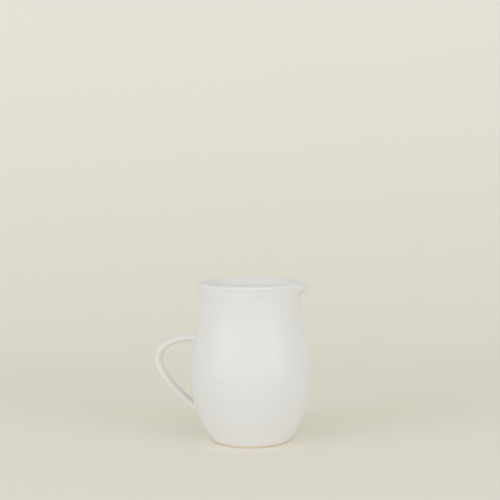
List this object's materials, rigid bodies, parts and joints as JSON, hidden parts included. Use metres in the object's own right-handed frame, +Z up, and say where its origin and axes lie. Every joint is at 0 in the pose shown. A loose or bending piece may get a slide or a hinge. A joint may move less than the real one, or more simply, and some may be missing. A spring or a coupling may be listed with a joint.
{
  "type": "ceramic pitcher",
  "caption": "White glazed stoneware pitcher with a full belly, a flared rim, a pulled pouring lip and a strap handle, standing on a bare clay foot.",
  "frame": {"origin": "the vessel's axis at the plane of the foot, which is the table that it stands on", "axes": "+Z up along the vessel's axis, +X towards the spout, -X towards the handle"},
  "size_m": [0.1515, 0.116, 0.15],
  "materials": {
    "white_glaze": "satin",
    "bare_clay": "matte"
  },
  "bodies": {
    "root": {"foot_ring": "bare_clay", "body": "bare_clay", "spout": "bare_clay", "handle": "bare_clay", "upper_joint": "white_glaze", "lower_joint": "white_glaze", "outer_glaze": "white_glaze", "liner_glaze": "white_glaze", "spout_glaze": "white_glaze", "handle_glaze": "white_glaze"}
  },
  "joints": []
}
